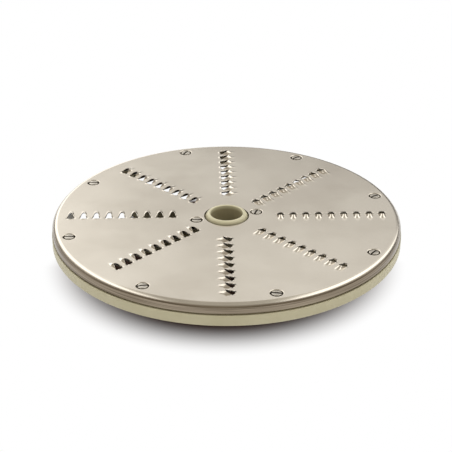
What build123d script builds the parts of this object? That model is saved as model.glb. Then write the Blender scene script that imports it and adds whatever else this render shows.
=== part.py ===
from build123d import *
from math import cos, radians, sin, tan
import os

# Shredding disc for a vegetable cutter, in millimetres. The hub's lower face is at z = 0,
# the bore is on the Z axis, and the first row of teeth lies along +X.

# Overall
disc_diameter = 205.0
hub_length = 30.0
collar_height = 1.8

# Shredding plate, pressed from one stainless sheet
plate_thickness = 0.8
plate_inset = 0.4
fold_radius = 3.2
fold_flats = 2
flange_depth = 5.7

# Teeth: scoops raised from the sheet, open towards the direction of rotation
row_count = 8
row_steps = (3, 0, 2, 1)
row_step = 1.875
first_tooth_radius = 26.1
tooth_pitch = 7.5
tooth_width = 4.6
tooth_height = 2.2
tooth_ridge_width = 1.0
tooth_tail_length = 4.7
mouth_setback = 2.2
opening_reach = 2.5
opening_front_width = 3.0
opening_side_margin = 0.1
tooth_rim_margin = 1.0

# Screws: wide-angle countersunk heads, flush with the plate, each as deep as the sheet
screw_diameter = 4.2
screw_length = 10.0
screw_head_angle = 110.0
rim_screw_inset = 8.7
hub_screw_radius = 18.3
screw_lead_angle = 15.0

# Carrier, one plastic moulding
rim_depth = 12.3
rim_width = 7.0
shadow_gap = 0.6
rim_boss_radius = 6.2
rim_boss_sides = 8
spoke_width = 4.0
spoke_depth_at_hub = 20.5
hub_shoulder_radius = 23.4
hub_shoulder_depth = 17.0
hub_radius = 17.5
bore_diameter = 19.0
collar_base_radius = 13.1
collar_top_radius = 11.4
drive_slot_width = 6.2
drive_slot_depth = 7.0

# Fits
flange_clearance = 0.15
collar_clearance = 0.15
thread_clearance = 0.05
pilot_run_out = 1.0

# Derived sizes
disc_radius = disc_diameter / 2
plate_radius = disc_radius - plate_inset
plate_top = hub_length - collar_height
plate_bottom = plate_top - plate_thickness
plate_hole_radius = collar_base_radius + collar_clearance
flange_bottom = plate_top - flange_depth
flange_inner_radius = plate_radius - plate_thickness
fold_inner_radius = fold_radius - plate_thickness
rim_bottom = plate_top - rim_depth
rim_inner_radius = disc_radius - rim_width
rim_root_radius = rim_inner_radius + rim_width / 3
rim_screw_radius = disc_radius - rim_screw_inset
shank_radius = screw_diameter / 2
head_flare = tan(radians(screw_head_angle / 2))
head_radius = shank_radius + thread_clearance + plate_thickness * head_flare
bore_radius = bore_diameter / 2
row_angle = 360 / row_count
screw_angles = [screw_lead_angle + row_angle * row for row in range(row_count)]


def turned(*outline):
    """Solid of revolution about Z, from the corners of its section in (radius, height)."""
    return revolve(Plane.XZ * make_face(Polyline(*outline, close=True)), Axis.Z)


def around(radius, angle):
    """Place on the plate's upper face, with X pointing outwards and Y ahead in the rotation."""
    return Rot(0, 0, angle) * Pos(radius, 0, plate_top)


def tooth_places():
    """Where each tooth stands: rows filled outwards, each row shifted by its own step."""
    last_radius = rim_inner_radius - tooth_rim_margin - tooth_width / 2
    places = []
    for row in range(row_count):
        radius = first_tooth_radius + row_step * row_steps[row % len(row_steps)]
        while radius <= last_radius:
            places.append(around(radius, row * row_angle))
            radius += tooth_pitch
    return places


def screw_places():
    """Where the screws stand: round the rim ahead of each row, and two beside the hub."""
    rim = [around(rim_screw_radius, angle) for angle in screw_angles]
    hub = [around(hub_screw_radius, screw_lead_angle + half_turn) for half_turn in (0, 180)]
    return rim + hub


def tooth_scoop():
    """A tooth's raised form: a ridge that rises from the tail's point to the mouth."""
    tail_tip = mouth_setback + tooth_tail_length
    rise = tail_tip / tooth_tail_length
    half_ridge = tooth_ridge_width / 2 * rise
    half_width = tooth_width / 2
    ridge_height = tooth_height * rise
    mouth = make_face(
        Polyline(
            (-half_width, 0),
            (half_width, 0),
            (half_ridge, ridge_height),
            (-half_ridge, ridge_height),
            close=True,
        )
    )
    return loft([Plane.XZ * mouth.face(), Vertex(0, -tail_tip, 0)], ruled=True)


def tooth_opening():
    """Cutter for a tooth's opening: the lip's edge behind, the pierced edge in front."""
    half_lip = tooth_ridge_width / 2
    half_width = tooth_width / 2 + opening_side_margin
    half_front = opening_front_width / 2
    outline = Polyline(
        (half_width, 0),
        (half_front, opening_reach),
        (-half_front, opening_reach),
        (-half_width, 0),
        (-half_lip, -mouth_setback),
        (half_lip, -mouth_setback),
        close=True,
    )
    reach_down = plate_thickness + tooth_height
    height = reach_down + 2 * tooth_height
    return Pos(0, 0, -reach_down) * extrude(make_face(outline), height)


def screw_form(clearance=0.0, run_out=0.0):
    """A countersunk screw on Z, or with a clearance and a run out the hole that it fits.

    The cone of the head is the same in both, so that the head bears on its seat.
    """
    radius = shank_radius + clearance
    return turned(
        (0, 0),
        (head_radius, 0),
        (radius, (radius - head_radius) / head_flare),
        (radius, -screw_length - run_out),
        (0, -screw_length - run_out),
    )


def make_plate(holes):
    """The pressed sheet: its edge folds down, its teeth are raised and its holes pierced."""
    fold = []
    for step in range(fold_flats + 1):
        turn = radians(90 * step / fold_flats)
        fold_x = plate_radius - fold_radius + fold_radius * cos(turn)
        fold_z = plate_top - fold_radius + fold_radius * sin(turn)
        fold.append((fold_x, fold_z))
    sheet = turned(
        (plate_hole_radius, plate_bottom),
        (flange_inner_radius - fold_inner_radius, plate_bottom),
        (flange_inner_radius, plate_bottom - fold_inner_radius),
        (flange_inner_radius, flange_bottom),
        (plate_radius, flange_bottom),
        *fold,
        (plate_hole_radius, plate_top),
    )
    places = tooth_places()
    scoop = tooth_scoop()
    opening = tooth_opening()
    hollow = Pos(0, 0, -plate_thickness) * scoop
    sheet += [place * scoop for place in places]
    sheet -= [place * hollow for place in places]
    sheet -= [place * opening for place in places]
    return sheet - holes


def make_rim():
    """The outer ring: a full-width band below, and a spigot inside the plate's flange."""
    spigot_radius = flange_inner_radius - flange_clearance
    shoulder = flange_bottom - shadow_gap
    return turned(
        (rim_inner_radius, rim_bottom),
        (disc_radius, rim_bottom),
        (disc_radius, shoulder),
        (spigot_radius, shoulder),
        (spigot_radius, plate_bottom - fold_inner_radius),
        (spigot_radius - fold_inner_radius, plate_bottom),
        (rim_inner_radius, plate_bottom),
    )


def make_hub():
    """The hub: a barrel, a wide shoulder under the plate and a tapered collar above it."""
    shoulder_bottom = plate_top - hub_shoulder_depth
    return turned(
        (bore_radius, 0),
        (hub_radius, 0),
        (hub_radius, shoulder_bottom),
        (hub_shoulder_radius, shoulder_bottom),
        (hub_shoulder_radius, plate_bottom),
        (collar_base_radius, plate_bottom),
        (collar_base_radius, plate_top),
        (collar_top_radius, hub_length),
        (bore_radius, hub_length),
    )


def make_spoke():
    """A web under the plate along X, deepest at the hub."""
    inner_end = (bore_radius + hub_radius) / 2
    hub_end_bottom = plate_top - spoke_depth_at_hub
    web = Polyline(
        (inner_end, plate_bottom),
        (inner_end, hub_end_bottom),
        (hub_radius, hub_end_bottom),
        (rim_inner_radius, rim_bottom),
        (rim_root_radius, rim_bottom),
        (rim_root_radius, plate_bottom),
        close=True,
    )
    return extrude(Plane.XZ * make_face(web), spoke_width / 2, both=True)


def make_carrier(holes):
    """Rim, bosses, spokes and hub, moulded in one."""
    spoke = make_spoke()
    boss = Pos(rim_screw_radius, 0, rim_bottom) * extrude(
        RegularPolygon(rim_boss_radius, rim_boss_sides), plate_bottom - rim_bottom
    )
    boss &= Cylinder(rim_root_radius, 2 * hub_length)
    body = make_rim() + make_hub()
    body += [Rot(0, 0, angle) * spoke for angle in screw_angles]
    body += [Rot(0, 0, angle) * boss for angle in screw_angles]
    slot = Box(
        2 * hub_radius,
        drive_slot_width,
        drive_slot_depth,
        align=(Align.CENTER, Align.CENTER, Align.MIN),
    )
    return body - slot - holes


os.makedirs("parts", exist_ok=True)
screw_hole = screw_form(thread_clearance, pilot_run_out)
screw_holes = [place * screw_hole for place in screw_places()]
screw = screw_form()
screws = Compound([place * screw for place in screw_places()])
export_step(make_plate(screw_holes), "parts/shredding_plate.step")
export_step(make_carrier(screw_holes), "parts/carrier.step")
export_step(screws, "parts/screws.step")
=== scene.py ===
import bpy
from collections import Counter
from math import cos, hypot, pi, radians, sin
from mathutils import Matrix, Vector


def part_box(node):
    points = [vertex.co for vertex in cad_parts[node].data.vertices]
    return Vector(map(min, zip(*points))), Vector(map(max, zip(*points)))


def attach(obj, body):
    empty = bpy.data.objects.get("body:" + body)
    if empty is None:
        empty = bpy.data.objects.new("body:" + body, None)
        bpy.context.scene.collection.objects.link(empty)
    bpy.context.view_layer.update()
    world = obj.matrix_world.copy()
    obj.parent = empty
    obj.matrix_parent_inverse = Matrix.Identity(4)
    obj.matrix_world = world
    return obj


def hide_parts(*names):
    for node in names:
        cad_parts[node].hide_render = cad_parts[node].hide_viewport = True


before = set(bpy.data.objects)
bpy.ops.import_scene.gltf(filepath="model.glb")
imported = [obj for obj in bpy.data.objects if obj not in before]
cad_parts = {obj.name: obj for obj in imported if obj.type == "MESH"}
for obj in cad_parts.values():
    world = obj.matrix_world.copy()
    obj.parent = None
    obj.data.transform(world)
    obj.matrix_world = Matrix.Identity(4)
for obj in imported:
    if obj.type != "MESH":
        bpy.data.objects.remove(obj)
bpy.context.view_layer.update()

# Carrier: one injection moulding in cream plastic, with an outer rim, eight spokes that
# end in screw bosses, and a bored hub with a tapered collar that comes up through the plate.
mm = 0.001
carrier_low, carrier_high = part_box("carrier")
rim_radius = carrier_high.x
hub_top = carrier_high.z
collar_height = 1.8 * mm
sheet_thickness = 0.8 * mm
plate_top = hub_top - collar_height
plate_bottom = plate_top - sheet_thickness
rim_bottom = plate_top - 13.2 * mm
rim_inner_radius = rim_radius - 7.0 * mm
rim_shoulder = plate_top - 6.65 * mm
spigot_radius = rim_radius - 1.35 * mm
spigot_bevel = 2.4 * mm
rim_edge_rounding = 0.8 * mm
shoulder_rounding = 0.3 * mm
hub_radius = 17.5 * mm
hub_draft = 0.8 * mm
hub_shoulder_radius = 23.4 * mm
hub_shoulder = plate_top - 17.0 * mm
bore_radius = 9.5 * mm
collar_base_radius = 12.4 * mm
collar_top_radius = 11.3 * mm
collar_rounding = 0.9 * mm
collar_groove = 1.6 * mm
collar_groove_radius = 13.6 * mm
edge_rounding = 0.5 * mm
spoke_width = 4.0 * mm
spoke_depth = 20.5 * mm
spoke_overlap = 1.0 * mm
spoke_edge_rounding = 0.8 * mm
boss_radius = 6.2 * mm
boss_bottom = rim_bottom + 0.25 * mm
boss_place = rim_radius - 8.7 * mm
boss_limit = rim_inner_radius + 2.3 * mm
spoke_lead = radians(15)
spoke_count = 8
spoke_turn = 2 * pi / spoke_count
drive_slot_width = 6.2 * mm
drive_slot_depth = 7.0 * mm
hub_screw_radius = 18.3 * mm
seat_radius = 5.4 * mm
seat_taper = 1.5 * mm
seat_depth = 2.3 * mm


def pick(piece):
    """Make a piece the only selected one, and the active one."""
    bpy.ops.object.select_all(action="DESELECT")
    piece.select_set(True)
    bpy.context.view_layer.objects.active = piece


def place_in_mesh(piece):
    """Leave a piece at the origin, unturned and unscaled, with its place in its mesh."""
    pick(piece)
    bpy.ops.object.transform_apply(location=True, rotation=True, scale=True)
    return piece


def edit_where(piece, kind, accepts):
    """Go to edit mode with the vertices, edges or faces selected that a test accepts."""
    pick(piece)
    mesh = piece.data
    kinds = {"VERT": mesh.vertices, "EDGE": mesh.edges, "FACE": mesh.polygons}
    for parts in kinds.values():
        for part in parts:
            part.select = False
    for part in kinds[kind]:
        part.select = accepts(part)
    bpy.context.tool_settings.mesh_select_mode = [kind == each for each in kinds]
    bpy.ops.object.mode_set(mode="EDIT")


def edit_all(piece):
    """Go to edit mode with everything selected."""
    pick(piece)
    bpy.ops.object.mode_set(mode="EDIT")
    bpy.ops.mesh.select_all(action="SELECT")


def leave_edit():
    """Go back to object mode."""
    bpy.ops.object.mode_set(mode="OBJECT")


def turned(name, corners, steps, closed=True, arc_steps=5):
    """Spin a section round the shaft's axis; each corner is a radius, a height and a rounding."""
    count = len(corners)
    sides = [(n, (n + 1) % count) for n in range(count if closed else count - 1)]
    section = bpy.data.meshes.new(name)
    section.from_pydata([(radius, 0, height) for radius, height, rounding in corners], sides, [])
    piece = bpy.data.objects.new(name, section)
    bpy.context.scene.collection.objects.link(piece)
    for radius, height, rounding in corners:
        if rounding:
            corner = Vector((radius, 0, height))
            edit_where(piece, "VERT", lambda vertex: (vertex.co - corner).length < 1e-7)
            bpy.ops.mesh.bevel(offset=rounding, segments=arc_steps, affect="VERTICES")
            leave_edit()
    edit_all(piece)
    bpy.ops.mesh.spin(steps=steps, angle=2 * pi, center=(0, 0, 0), axis=(0, 0, 1))
    bpy.ops.mesh.select_all(action="SELECT")
    bpy.ops.mesh.remove_doubles(threshold=1e-6)
    bpy.ops.mesh.normals_make_consistent(inside=False)
    leave_edit()
    return piece


def copied(piece, name, placing):
    """Copy a piece with its own mesh, moved or turned by a matrix."""
    copy = piece.copy()
    copy.name = name
    copy.data = piece.data.copy()
    copy.data.transform(placing)
    bpy.context.scene.collection.objects.link(copy)
    return copy


def joined(pieces):
    """Join pieces into the first of them."""
    pick(pieces[0])
    for piece in pieces:
        piece.select_set(True)
    bpy.ops.object.join()
    return pieces[0]


def finish_with(piece, kind, **settings):
    """Add a modifier with these settings and apply it."""
    pick(piece)
    modifier = piece.modifiers.new(kind.lower(), kind)
    for setting, value in settings.items():
        setattr(modifier, setting, value)
    bpy.ops.object.modifier_apply(modifier=modifier.name)


def combine(piece, operation, other):
    """Unite a piece with another solid or cut it by that solid, which is then removed."""
    finish_with(piece, "BOOLEAN", operation=operation, object=other, solver="EXACT")
    bpy.data.objects.remove(other)


moulding = turned(
    "carrier_moulding",
    [
        (rim_inner_radius, rim_bottom, edge_rounding),
        (rim_radius, rim_bottom, rim_edge_rounding),
        (rim_radius, rim_shoulder, shoulder_rounding),
        (spigot_radius, rim_shoulder, 0),
        (spigot_radius, plate_bottom - spigot_bevel, 0),
        (spigot_radius - spigot_bevel, plate_bottom, 0),
        (rim_inner_radius, plate_bottom, 0),
    ],
    steps=240,
)

spoke_start = hub_radius - spoke_overlap
spoke_end = rim_inner_radius + spoke_overlap
spoke_bottom = plate_top - spoke_depth
bpy.ops.object.select_all(action="DESELECT")
bpy.ops.mesh.primitive_cube_add(
    size=1,
    location=((spoke_start + spoke_end) / 2, 0, (spoke_bottom + plate_bottom) / 2),
    scale=(spoke_end - spoke_start, spoke_width, plate_bottom - spoke_bottom),
)
arm = place_in_mesh(bpy.context.object)
edit_where(arm, "VERT", lambda vertex: vertex.co.x > boss_place and vertex.co.z < rim_bottom)
bpy.ops.transform.translate(value=(0, 0, boss_bottom - spoke_bottom))
leave_edit()


def is_lower_spoke_edge(edge):
    """One of the two long edges along the bottom of the spoke."""
    start, end = (arm.data.vertices[n].co for n in edge.vertices)
    return abs(start.x - end.x) > boss_radius and max(start.z, end.z) < plate_bottom - mm


edit_where(arm, "EDGE", is_lower_spoke_edge)
bpy.ops.mesh.bevel(offset=spoke_edge_rounding, segments=3, affect="EDGES")
leave_edit()

bpy.ops.object.select_all(action="DESELECT")
bpy.ops.mesh.primitive_cylinder_add(
    vertices=48,
    radius=boss_radius,
    depth=plate_bottom - boss_bottom,
    location=(boss_place, 0, (plate_bottom + boss_bottom) / 2),
)
boss = place_in_mesh(bpy.context.object)
for vertex in boss.data.vertices:
    reach = hypot(vertex.co.x, vertex.co.y)
    if reach > boss_limit:
        vertex.co.x *= boss_limit / reach
        vertex.co.y *= boss_limit / reach
edit_where(boss, "FACE", lambda face: face.normal.z < -0.9)
bpy.ops.mesh.bevel(offset=edge_rounding, segments=3, affect="EDGES")
leave_edit()
combine(arm, "UNION", boss)

arms = [
    copied(arm, f"arm_{n}", Matrix.Rotation(spoke_lead + spoke_turn * n, 4, "Z"))
    for n in range(spoke_count)
]
bpy.data.objects.remove(arm)
combine(moulding, "UNION", joined(arms))

hub = turned(
    "hub",
    [
        (bore_radius, 0, edge_rounding),
        (hub_radius - hub_draft, 0, rim_edge_rounding),
        (hub_radius, hub_shoulder, 0),
        (hub_shoulder_radius, hub_shoulder, edge_rounding),
        (hub_shoulder_radius, plate_bottom, 0),
        (collar_groove_radius, plate_bottom, 0),
        (collar_groove_radius, plate_bottom - collar_groove, 0),
        (collar_base_radius, plate_bottom - collar_groove, 0),
        (collar_base_radius, plate_top, 0),
        (collar_top_radius, hub_top, collar_rounding),
        (bore_radius, hub_top, edge_rounding),
    ],
    steps=120,
)
bpy.ops.object.select_all(action="DESELECT")
bpy.ops.mesh.primitive_cube_add(
    size=1, scale=(2.2 * hub_radius, drive_slot_width, 2 * drive_slot_depth)
)
combine(hub, "DIFFERENCE", place_in_mesh(bpy.context.object))
combine(moulding, "UNION", hub)

screw_places = [(boss_place, spoke_lead + spoke_turn * n) for n in range(spoke_count)]
screw_places += [(hub_screw_radius, spoke_lead), (hub_screw_radius, spoke_lead + pi)]


def at_screw(place):
    """The move from the shaft's axis to a screw's place."""
    radius, angle = place
    return Matrix.Translation((radius * cos(angle), radius * sin(angle), 0))


seat = turned(
    "seat",
    [
        (0, plate_top, 0),
        (seat_radius, plate_top, 0),
        (seat_radius - seat_taper, plate_top - seat_depth, 0),
        (0, plate_top - seat_depth, 0),
    ],
    steps=32,
    closed=False,
)
seats = [copied(seat, f"seat_{n}", at_screw(place)) for n, place in enumerate(screw_places)]
bpy.data.objects.remove(seat)
combine(moulding, "DIFFERENCE", joined(seats))
pick(moulding)
bpy.ops.object.shade_smooth_by_angle(angle=radians(35))


def add_node(owner, kind, **inputs):
    """Add a node to a material or the world, and set or link its inputs.

    The inputs are named with underscores for spaces.
    """
    node = owner.node_tree.nodes.new(kind)
    for name, value in inputs.items():
        socket = node.inputs[name.replace("_", " ")]
        if isinstance(value, bpy.types.NodeSocket):
            owner.node_tree.links.new(value, socket)
        else:
            socket.default_value = value
    return node


def new_material(name):
    """A new material, with its shader and the Object coordinates that its patterns read."""
    material = bpy.data.materials.new(name)
    material.use_nodes = True
    shader = material.node_tree.nodes["Principled BSDF"]
    place = add_node(material, "ShaderNodeTexCoord").outputs["Object"]
    return material, shader, place


def set_ramp(ramp, low, low_colour, high, high_colour):
    """Set the two ends of a colour ramp."""
    first, last = ramp.color_ramp.elements
    first.position = low
    first.color = (*low_colour, 1)
    last.position = high
    last.color = (*high_colour, 1)


def ramped(owner, value, start, end, low=0.0, high=1.0, eased=False):
    """Go from low to high, straight or eased, as a value goes from start to end."""
    ramp = add_node(
        owner,
        "ShaderNodeMapRange",
        Value=value,
        From_Min=start,
        From_Max=end,
        To_Min=low,
        To_Max=high,
    )
    if eased:
        ramp.interpolation_type = "SMOOTHSTEP"
    return ramp.outputs["Result"]


def both(owner, first, second):
    """Where two masks overlap: their product."""
    product = add_node(owner, "ShaderNodeMath", Value=first)
    product.operation = "MULTIPLY"
    owner.node_tree.links.new(second, product.inputs[1])
    return product.outputs["Value"]


def either(owner, first, second):
    """Where one of two masks is: their sum, up to 1."""
    total = add_node(owner, "ShaderNodeMath", Value=first)
    total.use_clamp = True
    owner.node_tree.links.new(second, total.inputs[1])
    return total.outputs["Value"]


def blended(owner, share, first, second):
    """Mix two colours, each written as a colour or linked from a socket."""
    mix = add_node(owner, "ShaderNodeMix", Factor=share)
    mix.data_type = "RGBA"
    for slot, colour in ((6, first), (7, second)):
        if isinstance(colour, bpy.types.NodeSocket):
            owner.node_tree.links.new(colour, mix.inputs[slot])
        else:
            mix.inputs[slot].default_value = (*colour, 1)
    return mix.outputs[2]


def vector_math(owner, operation, vector, other=(0, 0, 0)):
    """The outputs of an operation on a linked vector and, where it takes two, a written one."""
    node = add_node(owner, "ShaderNodeVectorMath", Vector=vector)
    node.operation = operation
    node.inputs[1].default_value = other
    return node.outputs


def from_axis(owner, place):
    """How far a place is from the shaft's axis."""
    level = vector_math(owner, "MULTIPLY", place, (1, 1, 0))["Vector"]
    return vector_math(owner, "LENGTH", level)["Value"]


def cream_plastic():
    """Cream moulded plastic: a fine moulded surface, with painted shade on the inner faces under the
    plate and in the gap under the flange.
    """
    material, shader, place = new_material("cream_plastic")
    clouds = add_node(material, "ShaderNodeTexNoise", Vector=place, Scale=55, Detail=4)
    tone = add_node(material, "ShaderNodeValToRGB", Fac=clouds.outputs["Fac"])
    set_ramp(tone, 0.3, (0.65, 0.61, 0.415), 0.75, (0.72, 0.68, 0.49))
    grain = add_node(material, "ShaderNodeTexNoise", Vector=place, Scale=2600, Detail=2)
    bump = add_node(
        material, "ShaderNodeBump", Strength=0.12, Distance=0.0001, Height=grain.outputs["Fac"]
    )
    height = add_node(material, "ShaderNodeSeparateXYZ", Vector=place).outputs["Z"]
    reach = from_axis(material, place)
    outer_side = rim_inner_radius + 0.2 * mm
    inner_side = rim_inner_radius - 0.4 * mm
    inner_faces = both(
        material,
        ramped(material, height, plate_top + 0.9 * mm, plate_bottom),
        ramped(material, reach, outer_side, inner_side),
    )
    flange_gap = both(
        material,
        ramped(material, height, rim_shoulder - 0.15 * mm, rim_shoulder + 0.05 * mm),
        ramped(material, reach, inner_side, outer_side),
    )
    painted_shade_share = either(material, inner_faces, flange_gap)
    # Painted shade: the inner faces under the plate and the gap under the flange take a dark cream.
    colour = blended(material, painted_shade_share, tone.outputs["Color"], (0.37, 0.33, 0.21))
    gloss = ramped(material, clouds.outputs["Fac"], 0, 1, 0.36, 0.5)
    links = material.node_tree.links
    links.new(colour, shader.inputs["Base Color"])
    links.new(gloss, shader.inputs["Roughness"])
    links.new(bump.outputs["Normal"], shader.inputs["Normal"])
    return material


moulding.data.materials.clear()
moulding.data.materials.append(cream_plastic())
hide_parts("carrier")
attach(moulding, "root")

# Shredding plate: one stainless sheet, pressed so that its edge folds down over the carrier's
# rim and each tooth stands up as a scoop behind its opening; the screws sit in dished holes.
plate_low, plate_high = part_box("shredding_plate")
plate_radius = plate_high.x
flange_bottom = plate_low.z
fold_radius = 3.2 * mm
fold_border = 0.05 * mm
plate_hole_radius = 13.25 * mm
hole_border = 0.4 * mm
row_count = 8
row_turn = 2 * pi / row_count
row_shifts = [1.875 * mm * step for step in (3, 0, 2, 1)]
teeth_in_row = 9
first_tooth_radius = 26.1 * mm
tooth_pitch = 7.5 * mm
tooth_half_width = 2.3 * mm
tooth_height = 1.66 * mm
ridge_power = 1.75
tail_tip = 9.2 * mm
tail_bluntness = 0.5
tail_curl = 3.6
lip_curl = 1.8
mouth_setback = 3.0 * mm
mouth_foot = 0.5 * mm
opening_reach = 2.5 * mm
edge_roll = 0.65 * mm
edge_raise = 0.9 * mm
edge_roll_width = 1.3 * mm
edge_spread = 1.3
foot_width = 0.25 * mm
cell_back = 10.2 * mm
cell_front = 4.2 * mm
drawn_thinner = 0.75
thinning_height = 0.8 * mm
half_steps = 20
lip_steps = 11
back_steps = 6
side_steps = 9
ring_steps = 8
lip_rings = [0, 0.08, 0.22, 0.4, 0.62, 0.84, 1]
front_rings = [0, 0.16 * mm, 0.36 * mm, 0.58 * mm, 0.82 * mm, 1.06 * mm, edge_roll_width]
dish_radius = 3.7 * mm
dish_rounding = 0.35 * mm
dish_border = 0.36 * mm
dish_taper = 0.6 * mm
dish_depth = 1.25 * mm
screw_radius = 2.1 * mm
screw_clearance = 0.15 * mm


def tooth_half_section(ahead):
    """Half the width and the whole height of a tooth at a distance ahead of its mouth's middle."""
    half_width = tooth_half_width * min(1.0, max(0.0, 1 + ahead / tail_tip)) ** tail_bluntness
    along = max(0.0, (ahead + tail_tip) / (tail_tip - mouth_setback))
    return half_width, tooth_height * along ** (tail_curl if along < 1 else lip_curl)


def tooth_rise(across, ahead):
    """Height of the sheet on a tooth: a ridge that curves up from the tail to the lip."""
    half_width, height = tooth_half_section(ahead)
    if half_width <= abs(across):
        return 0.0
    return height * (1 - (abs(across) / half_width) ** ridge_power)


def tooth_lip(share):
    """The lip's edge in plan, where a slanting cut meets the ridge: its foot at 0, its top at 1."""
    ahead = mouth_foot - share * (mouth_foot + mouth_setback)
    half_width, height = tooth_half_section(ahead)
    across = half_width * max(0.0, 1 - share * tooth_height / height) ** (1 / ridge_power)
    return Vector((across, ahead))


def cell_edge(step):
    """Edge of a tooth's own patch of sheet in plan, a rectangle that its neighbours meet."""
    half_pitch = tooth_pitch / 2
    if step <= back_steps:
        return Vector((half_pitch * step / back_steps, -cell_back))
    if step <= back_steps + side_steps:
        along = (step - back_steps) / side_steps
        return Vector((half_pitch, -cell_back + along * (cell_back + cell_front)))
    front_steps = half_steps - back_steps - side_steps
    return Vector((half_pitch * (half_steps - step) / front_steps, cell_front))


def tooth_point(step, ring):
    """A point of a tooth's patch, from the opening's edge at ring 0 to the patch's edge.

    The opening's front edge lifts in the middle and dips beside the corners.
    """
    if ring == ring_steps:
        return (*cell_edge(step), 0.0)
    if step < lip_steps:
        lip = tooth_lip(cos(pi / 2 * step / lip_steps))
        foot_ahead = mouth_foot - (mouth_foot + tail_tip) * (1 - step / lip_steps)
        foot = Vector((tooth_half_section(foot_ahead)[0], foot_ahead))
        if ring < len(lip_rings):
            place = lip.lerp(foot, lip_rings[ring])
            return (*place, tooth_rise(*place))
        outside = foot.lerp(cell_edge(step), foot_width / (cell_edge(step) - foot).length)
        return (*outside, 0.0)
    turn = pi / 2 * (step - lip_steps) / (half_steps - lip_steps)
    front_ahead = mouth_foot + (opening_reach - mouth_foot) * sin(turn)
    front = Vector((tooth_half_width * cos(turn), front_ahead))
    outward = cell_edge(step) - front
    if ring < len(front_rings):
        reach = front_rings[ring]
    else:
        reach = front_rings[-1] * edge_spread
    place = front + outward.normalized() * min(reach, outward.length * ring / ring_steps)
    roll = max(0.0, 1 - (place - front).length / edge_roll_width) ** 2
    lift = edge_raise * sin(turn) - edge_roll * (1 - (1 - sin(turn)) ** 4)
    return (*place, roll * lift)


bpy.ops.object.select_all(action="DESELECT")
bpy.ops.mesh.primitive_grid_add(x_subdivisions=2 * half_steps, y_subdivisions=ring_steps, size=1)
row = bpy.context.object
thinning = row.vertex_groups.new(name="drawn_thinner")
for vertex in row.data.vertices:
    step = round((vertex.co.x + 0.5) * 2 * half_steps)
    ring = round((vertex.co.y + 0.5) * ring_steps)
    across, ahead, rise = tooth_point(min(step, 2 * half_steps - step), ring)
    vertex.co = (across if step <= half_steps else -across, ahead, rise)
    thinning.add([vertex.index], drawn_thinner * max(0.0, min(1.0, rise / thinning_height)), "REPLACE")
edit_all(row)
bpy.ops.mesh.remove_doubles(threshold=1e-7)
leave_edit()
row.data.transform(Matrix.Translation((first_tooth_radius, 0, plate_top)))
finish_with(
    row,
    "ARRAY",
    count=teeth_in_row,
    use_relative_offset=False,
    use_constant_offset=True,
    constant_offset_displace=(tooth_pitch, 0, 0),
    use_merge_vertices=True,
    merge_threshold=1e-6,
)
rows = []
for number in range(row_count):
    shift = Matrix.Translation((row_shifts[number % len(row_shifts)], 0, 0))
    turn = Matrix.Rotation(row_turn * number, 4, "Z")
    rows.append(copied(row, f"row_{number}", turn @ shift))
bpy.data.objects.remove(row)

dish = turned(
    "dish",
    [
        (dish_radius + dish_border, plate_top, 0),
        (dish_radius, plate_top, dish_rounding),
        (dish_radius - dish_taper, plate_top - dish_depth, 0),
        (screw_radius + screw_clearance, plate_top - dish_depth, 0),
    ],
    steps=40,
    closed=False,
)
dishes = [copied(dish, f"dish_{n}", at_screw(place)) for n, place in enumerate(screw_places)]
bpy.data.objects.remove(dish)
hole_edge = turned(
    "hole_edge",
    [(plate_hole_radius, plate_top, 0), (plate_hole_radius + hole_border, plate_top, 0)],
    steps=96,
    closed=False,
)
plate = turned(
    "plate",
    [
        (plate_radius - fold_radius - fold_border, plate_top, 0),
        (plate_radius, plate_top, fold_radius),
        (plate_radius, flange_bottom, 0),
    ],
    steps=240,
    closed=False,
    arc_steps=12,
)
plate = joined([plate, *rows, *dishes, hole_edge])
edit_all(plate)
bpy.ops.mesh.remove_doubles(threshold=1e-6)
leave_edit()
sheet = plate.data
borders = Counter(key for face in sheet.polygons for key in face.edge_keys)


def is_open_and_flat(edge):
    """An open edge in the plane of the plate's upper face."""
    level = all(abs(sheet.vertices[n].co.z - plate_top) < 1e-7 for n in edge.vertices)
    on_hole = all(
        hypot(*sheet.vertices[n].co.xy) < plate_hole_radius + 0.1 * mm for n in edge.vertices
    )
    return level and borders[edge.key] == 1 and not on_hole


formed = len(sheet.polygons)
edit_where(plate, "EDGE", is_open_and_flat)
bpy.ops.mesh.fill(use_beauty=True)
bpy.ops.mesh.select_all(action="SELECT")
bpy.ops.mesh.normals_make_consistent(inside=False)
leave_edit()
for number, face in enumerate(sheet.polygons):
    face.use_smooth = number < formed
finish_with(
    plate,
    "SOLIDIFY",
    thickness=sheet_thickness,
    offset=-1,
    vertex_group="drawn_thinner",
    invert_vertex_group=True,
    use_rim=True,
)
edit_where(plate, "EDGE", lambda edge: False)
bpy.ops.mesh.edges_select_sharp(sharpness=radians(40))
bpy.ops.mesh.mark_sharp()
leave_edit()


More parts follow.
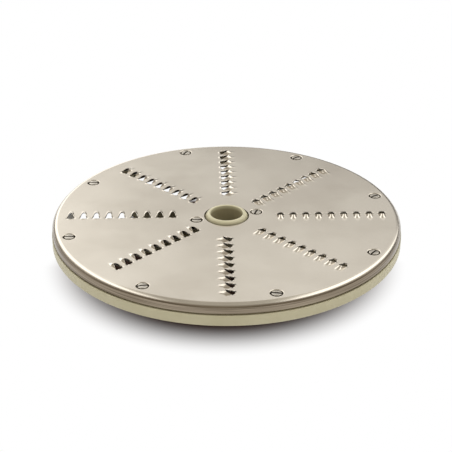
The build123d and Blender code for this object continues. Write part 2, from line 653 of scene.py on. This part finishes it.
def stainless_sheet():
    """Cold-rolled stainless steel: satin and faintly clouded, streaked round the flange, where a
    painted dark reflection also darkens it.

    Painted shade darkens the dishes round the screws and the cut edges and inner sides of the teeth.
    """
    material, shader, place = new_material("stainless_sheet")
    shader.inputs["Metallic"].default_value = 1
    clouds = add_node(material, "ShaderNodeTexNoise", Vector=place, Scale=22, Detail=3)
    tone = add_node(material, "ShaderNodeValToRGB", Fac=clouds.outputs["Fac"])
    set_ramp(tone, 0.34, (0.655, 0.60, 0.52), 0.66, (0.765, 0.71, 0.625))
    rings = add_node(material, "ShaderNodeMapping", Vector=place, Scale=(25, 25, 2600))
    streaks = add_node(
        material, "ShaderNodeTexNoise", Vector=rings.outputs["Vector"], Scale=1, Detail=2
    )
    # Flange colour: real drawing streaks, darkened further as a painted dark reflection.
    streaks_and_painted_reflection = add_node(material, "ShaderNodeValToRGB", Fac=streaks.outputs["Fac"])
    set_ramp(streaks_and_painted_reflection, 0.35, (0.15, 0.118, 0.082), 0.65, (0.36, 0.30, 0.225))
    # Painted shade colour, for the screw dishes and for the cut edges and inner sides of the teeth.
    painted_shade = (0.1, 0.09, 0.075)
    height = add_node(material, "ShaderNodeSeparateXYZ", Vector=place).outputs["Z"]
    normal = add_node(material, "ShaderNodeTexCoord").outputs["Normal"]
    slope = add_node(material, "ShaderNodeSeparateXYZ", Vector=normal).outputs["Z"]
    flange = ramped(material, height, plate_top - 0.95 * mm, plate_top - 1.7 * mm)
    above_flange = ramped(material, height, plate_bottom - 0.9 * mm, plate_bottom - 0.7 * mm)
    steep_or_under = ramped(material, slope, 0.25, 0.1)
    not_flat_under = ramped(material, slope, -0.97, -0.85)
    tooth_painted_shade = both(material, both(material, steep_or_under, not_flat_under), above_flange)
    fold_start = plate_radius - fold_radius
    inside_fold = ramped(material, from_axis(material, place), fold_start, fold_start - 0.5 * mm)
    sunk = ramped(material, height, plate_top - 0.25 * mm, plate_top - 0.7 * mm)
    upper_face = ramped(material, slope, 0.05, 0.25)
    dish_painted_shade = both(material, both(material, sunk, inside_fold), upper_face)
    colour = blended(material, dish_painted_shade, tone.outputs["Color"], painted_shade)
    # Painted dark reflection round the flange, over the real streaks.
    colour = blended(material, flange, colour, streaks_and_painted_reflection.outputs["Color"])
    colour = blended(material, tooth_painted_shade, colour, painted_shade)
    gloss = ramped(material, clouds.outputs["Fac"], 0, 1, 0.2, 0.27)
    links = material.node_tree.links
    links.new(colour, shader.inputs["Base Color"])
    links.new(gloss, shader.inputs["Roughness"])
    return material


sheet.materials.clear()
sheet.materials.append(stainless_sheet())
plate.name = "pressed_plate"
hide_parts("shredding_plate")
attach(plate, "root")

# Screws: ten slotted countersunk screws of bright steel, turned and then slotted. Eight go
# into the bosses at the rim and two into the hub, and each stopped at its own angle.
head_radius = 2.85 * mm
head_edge = 0.6 * mm
head_taper = 0.05 * mm
head_dome = 0.15 * mm
head_rounding = 0.4 * mm
shank_length = 10.0 * mm
shank_rounding = 0.4 * mm
slot_width = 1.1 * mm
slot_depth = 1.2 * mm
slot_edge_rounding = 0.07 * mm
slot_angles = [35, 40, 60, 0, 0, 12, -10, 52, 70, 0]
head_rim = plate_top
screw = turned(
    "screw",
    [
        (0, head_rim + head_dome, 0),
        (head_radius, head_rim, head_rounding),
        (head_radius - head_taper, head_rim - head_edge, 0),
        (screw_radius, head_rim - head_edge - head_radius + screw_radius, 0),
        (screw_radius, plate_top - shank_length, shank_rounding),
        (0, plate_top - shank_length, 0),
    ],
    steps=48,
    closed=False,
)
bpy.ops.object.select_all(action="DESELECT")
bpy.ops.mesh.primitive_cube_add(
    size=1,
    location=(0, 0, head_rim + head_dome),
    scale=(3 * head_radius, slot_width, 2 * slot_depth),
)
combine(screw, "DIFFERENCE", place_in_mesh(bpy.context.object))
finish_with(
    screw,
    "BEVEL",
    width=slot_edge_rounding,
    segments=2,
    limit_method="ANGLE",
    angle_limit=radians(50),
)
pick(screw)
bpy.ops.object.shade_smooth_by_angle(angle=radians(35))


def screw_steel():
    """Bright turned steel: finely scuffed, with painted shade in the slot and on the head's side below
    its rim.
    """
    material, shader, place = new_material("screw_steel")
    shader.inputs["Metallic"].default_value = 1
    scuffs = add_node(material, "ShaderNodeTexNoise", Vector=place, Scale=900, Detail=4)
    tone = add_node(material, "ShaderNodeValToRGB", Fac=scuffs.outputs["Fac"])
    set_ramp(tone, 0.3, (0.50, 0.465, 0.41), 0.7, (0.64, 0.60, 0.535))
    height = add_node(material, "ShaderNodeSeparateXYZ", Vector=place).outputs["Z"]
    shade_below_rim = ramped(material, height, head_rim - 0.15 * mm, head_rim - 0.4 * mm)
    # Painted shade: below the head's rim, in the slot and on the head's side, the steel is nearly
    # black.
    colour = blended(material, shade_below_rim, tone.outputs["Color"], (0.07, 0.06, 0.05))
    gloss = ramped(material, scuffs.outputs["Fac"], 0, 1, 0.22, 0.4)
    links = material.node_tree.links
    links.new(colour, shader.inputs["Base Color"])
    links.new(gloss, shader.inputs["Roughness"])
    return material


screw.data.materials.clear()
screw.data.materials.append(screw_steel())
for number, place in enumerate(screw_places):
    turn = Matrix.Rotation(radians(slot_angles[number]), 4, "Z")
    fastener = copied(screw, f"screw_{number + 1}", at_screw(place) @ turn)
    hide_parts("screws")
    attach(fastener, "root")
bpy.data.objects.remove(screw)

# Studio: a white sweep under a broad overhead lamp, with a softbox on each side, a backdrop
# that pales with height and a dim room behind the camera, which is at the photograph's place.
# Size and place of the painted shadow on the floor.
shadow_centre = -1.5 * mm
shadow_start = 76.5 * mm
near_shadow_end = 109 * mm
far_shadow_end = 83 * mm
near_side = -10 * mm
far_side = 45 * mm
bpy.ops.object.select_all(action="DESELECT")
bpy.ops.mesh.primitive_plane_add(size=8)
floor = bpy.context.object
floor.name = "floor"


def mixed_shaders(owner, share, first, second):
    """Mix two shaders by a share."""
    mix = add_node(owner, "ShaderNodeMixShader", Fac=share)
    owner.node_tree.links.new(first, mix.inputs[1])
    owner.node_tree.links.new(second, mix.inputs[2])
    return mix.outputs["Shader"]


def white_sweep():
    """White paper, pure white to the camera and in mirrors, apart from a painted soft shadow under the
    disc.

    The shadow is a dark paper tone that fades to white away from the disc's middle, and to other rays
    the paper is painted darker under the disc too, so that it bounces less light there.

    It is clear from below, so that the disc's underside can be seen.
    """
    material, paper, spot = new_material("white_sweep")
    paper.inputs["Roughness"].default_value = 0.9
    paper.inputs["Specular IOR Level"].default_value = 0.1
    rays = add_node(material, "ShaderNodeLightPath").outputs
    mirrored = either(material, rays["Is Glossy Ray"], rays["Is Transmission Ray"])
    shown = either(material, rays["Is Camera Ray"], mirrored)
    aside = vector_math(material, "SUBTRACT", spot, (shadow_centre, 0, 0))["Vector"]
    away = vector_math(material, "LENGTH", aside)["Value"]
    ahead = add_node(material, "ShaderNodeSeparateXYZ", Vector=spot).outputs["Y"]
    shadow_end = ramped(material, ahead, near_side, far_side, near_shadow_end, far_shadow_end)
    # The painted shadow's mask: 0 under the disc, rising to 1 on the open floor.
    open_floor = ramped(material, away, shadow_start, shadow_end, eased=True)
    bounce = ramped(material, open_floor, 0, 1, 0.05, 0.8)
    links = material.node_tree.links
    # Painted shadow and shade: the camera and mirrors see a dark paper tone, faded to white further
    # on; other rays see paper painted darker under the disc.
    links.new(blended(material, shown, bounce, (0.2, 0.12, 0.1)), paper.inputs["Base Color"])
    pure_white = add_node(material, "ShaderNodeEmission", Strength=1).outputs["Emission"]
    bleach = both(material, open_floor, shown)
    sweep = mixed_shaders(material, bleach, paper.outputs["BSDF"], pure_white)
    clear = add_node(material, "ShaderNodeBsdfTransparent").outputs["BSDF"]
    from_below = add_node(material, "ShaderNodeNewGeometry").outputs["Backfacing"]
    surface = material.node_tree.nodes["Material Output"].inputs["Surface"]
    links.new(mixed_shaders(material, from_below, sweep, clear), surface)
    return material


floor.data.materials.append(white_sweep())

lamp = bpy.data.lights.new("overhead_lamp", "AREA")
lamp.size = 0.8
lamp.energy = 1.5
lamp.color = (1.0, 0.98, 0.94)
holder = bpy.data.objects.new("overhead_lamp", lamp)
holder.location = (0, 0, 1.0)
holder.visible_glossy = False
bpy.context.scene.collection.objects.link(holder)

world = bpy.data.worlds.new("studio")
bpy.context.scene.world = world
world.use_nodes = True
sky = world.node_tree.nodes["Background"]
direction = add_node(world, "ShaderNodeTexCoord").outputs["Generated"]
height = add_node(world, "ShaderNodeSeparateXYZ", Vector=direction).outputs["Z"]
level = vector_math(world, "MULTIPLY", direction, (1, 1, 0))["Vector"]
bearing = vector_math(world, "NORMALIZE", level)["Vector"]


def facing(turn, start, end):
    """Ease from 0 to 1 as a bearing comes round to a compass turn in degrees."""
    towards = (cos(radians(turn)), sin(radians(turn)), 0)
    along = vector_math(world, "DOT_PRODUCT", bearing, towards)["Value"]
    return ramped(world, along, start, end, eased=True)


def beyond(normal, start, end):
    """Ease from 0 to 1 across a plane through the disc's middle."""
    side = vector_math(world, "DOT_PRODUCT", direction, normal)["Value"]
    return ramped(world, side, start, end, eased=True)


def within_planes(first, second):
    """A box of light between two planes, each a normal with where its edge starts and ends."""
    return both(world, beyond(*first), beyond(*second))


box_light = (1.9, 1.88, 1.82)
overhead = ramped(world, height, 0.35, 0.92, eased=True)
backdrop = both(world, facing(80, 0.3, 0.85), ramped(world, height, 0.88, 0.6, eased=True))
paling = ramped(world, height, 0.29, 0.505)
left_box = within_planes(((-0.91, 0.19, -0.37), 0.02, 0.26), ((0.6, 0.2, 0.77), -0.06, 0.2))
right_box = within_planes(((0.91, 0.19, -0.37), -0.05, 0.15), ((-0.6, 0.25, 0.76), -0.08, 0.12))
right_box = both(world, right_box, facing(3, 0.5, 0.7))
room = blended(world, overhead, (0.42, 0.385, 0.335), (0.48, 0.455, 0.4))
paper = blended(world, paling, (0.1, 0.095, 0.09), (1.0, 0.985, 0.95))
light = blended(world, backdrop, room, paper)
light = blended(world, left_box, light, box_light)
light = blended(world, right_box, light, box_light)
seen = add_node(world, "ShaderNodeLightPath").outputs["Is Camera Ray"]
world.node_tree.links.new(blended(world, seen, light, (1, 1, 1)), sky.inputs["Color"])

camera_distance = 780.5 * mm
camera_elevation = radians(27.01)
camera_turn = radians(-91.41)
camera_pitch = radians(27.428)
camera = bpy.data.cameras.new("camera")
camera.lens = 105.54
camera.sensor_width = 36
camera.shift_x = -0.0013
camera.shift_y = -0.0019
viewer = bpy.data.objects.new("camera", camera)
viewer.location = (
    camera_distance * cos(camera_elevation) * cos(camera_turn),
    camera_distance * cos(camera_elevation) * sin(camera_turn),
    plate_top + camera_distance * sin(camera_elevation),
)
viewer.rotation_euler = (pi / 2 - camera_pitch, 0, camera_turn + pi / 2)
bpy.context.scene.collection.objects.link(viewer)
bpy.context.scene.camera = viewer
bpy.context.scene.view_settings.view_transform = "Standard"
